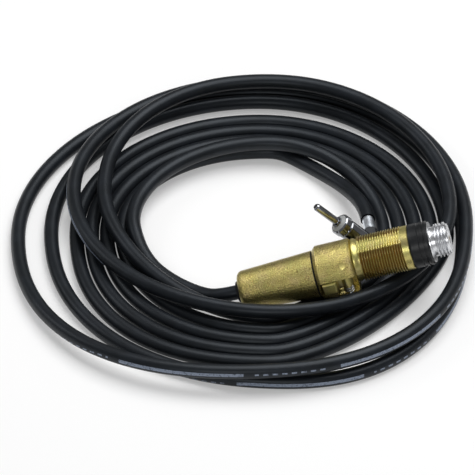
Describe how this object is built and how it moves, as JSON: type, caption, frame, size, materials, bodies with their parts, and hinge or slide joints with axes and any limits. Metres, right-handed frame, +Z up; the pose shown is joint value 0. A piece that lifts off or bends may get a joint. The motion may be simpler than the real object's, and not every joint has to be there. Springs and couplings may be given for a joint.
{
  "type": "vehicle antenna base with coaxial lead",
  "caption": "Feed-through aerial base with a threaded sleeve, a clamping claw and a sprung contact, on a wound coaxial lead that ends in an angled plug.",
  "frame": {"origin": "on the surface that the part lies on, under the middle of the head's bounding box", "axes": "+X towards the head's nose, +Z up, as the part lies on a level surface"},
  "size_m": [0.1948, 0.1982, 0.0375],
  "materials": {
    "yellow_zinc": "satin, yellow chromate",
    "bright_zinc": "bright plated",
    "bare_aluminium": "machined",
    "black_plastic": "semi-gloss",
    "black_rubber": "matt",
    "cable_jacket": "semi-matt",
    "white_plastic": "matt",
    "brass": "bare",
    "spring_steel": "bare",
    "copper_braid": "bare copper",
    "grey_plastic": "satin"
  },
  "bodies": {
    "base": {"rear_shell": "yellow_zinc", "shell_gasket": "black_rubber", "cable_grommet": "black_rubber", "cable_clamp_bush": "white_plastic", "cable_stub": "cable_jacket", "braid_ferrule": "brass", "cable_dielectric": "white_plastic", "centre_conductor": "copper_braid", "clamp_body": "yellow_zinc", "claw_pin": "spring_steel", "claw_spring": "spring_steel", "earth_screw": "bright_zinc", "threaded_sleeve": "yellow_zinc", "insulator": "black_plastic", "contact_washer": "bare_aluminium", "nose_stud": "bare_aluminium", "lock_washer": "spring_steel", "stud_nut": "brass", "dielectric_liner": "white_plastic", "centre_rod": "brass", "solder_cup": "brass", "retaining_ring": "spring_steel", "contact_spring": "spring_steel", "plug_pin": "bright_zinc", "plug_insulator": "grey_plastic", "plug_collar": "bright_zinc", "plug_barrel": "bright_zinc", "plug_housing": "bright_zinc", "plug_ferrule": "bare_aluminium", "lead": "cable_jacket", "coil": "cable_jacket", "tail": "cable_jacket"},
    "claw": {"gripping_claw": "yellow_zinc"},
    "contact": {"contact_plunger": "brass"}
  },
  "joints": [
    {"name": "claw_fold", "type": "hinge", "parent": "base", "child": "claw", "pos_m": [0.00101, -0.00888, 0.01917], "axis": [0.2551, 0.0127, -0.9668], "range_deg": [0, 14], "stiffness_Nm_per_rad": 0.02, "springref_deg": -20.05},
    {"name": "contact_slide", "type": "slide", "parent": "base", "child": "contact", "axis": [-0.9656, -0.0481, -0.2554], "range_m": [0, 0.0015], "stiffness_N_per_m": 400, "springref_m": -0.002, "deforming": ["contact_spring"]}
  ]
}
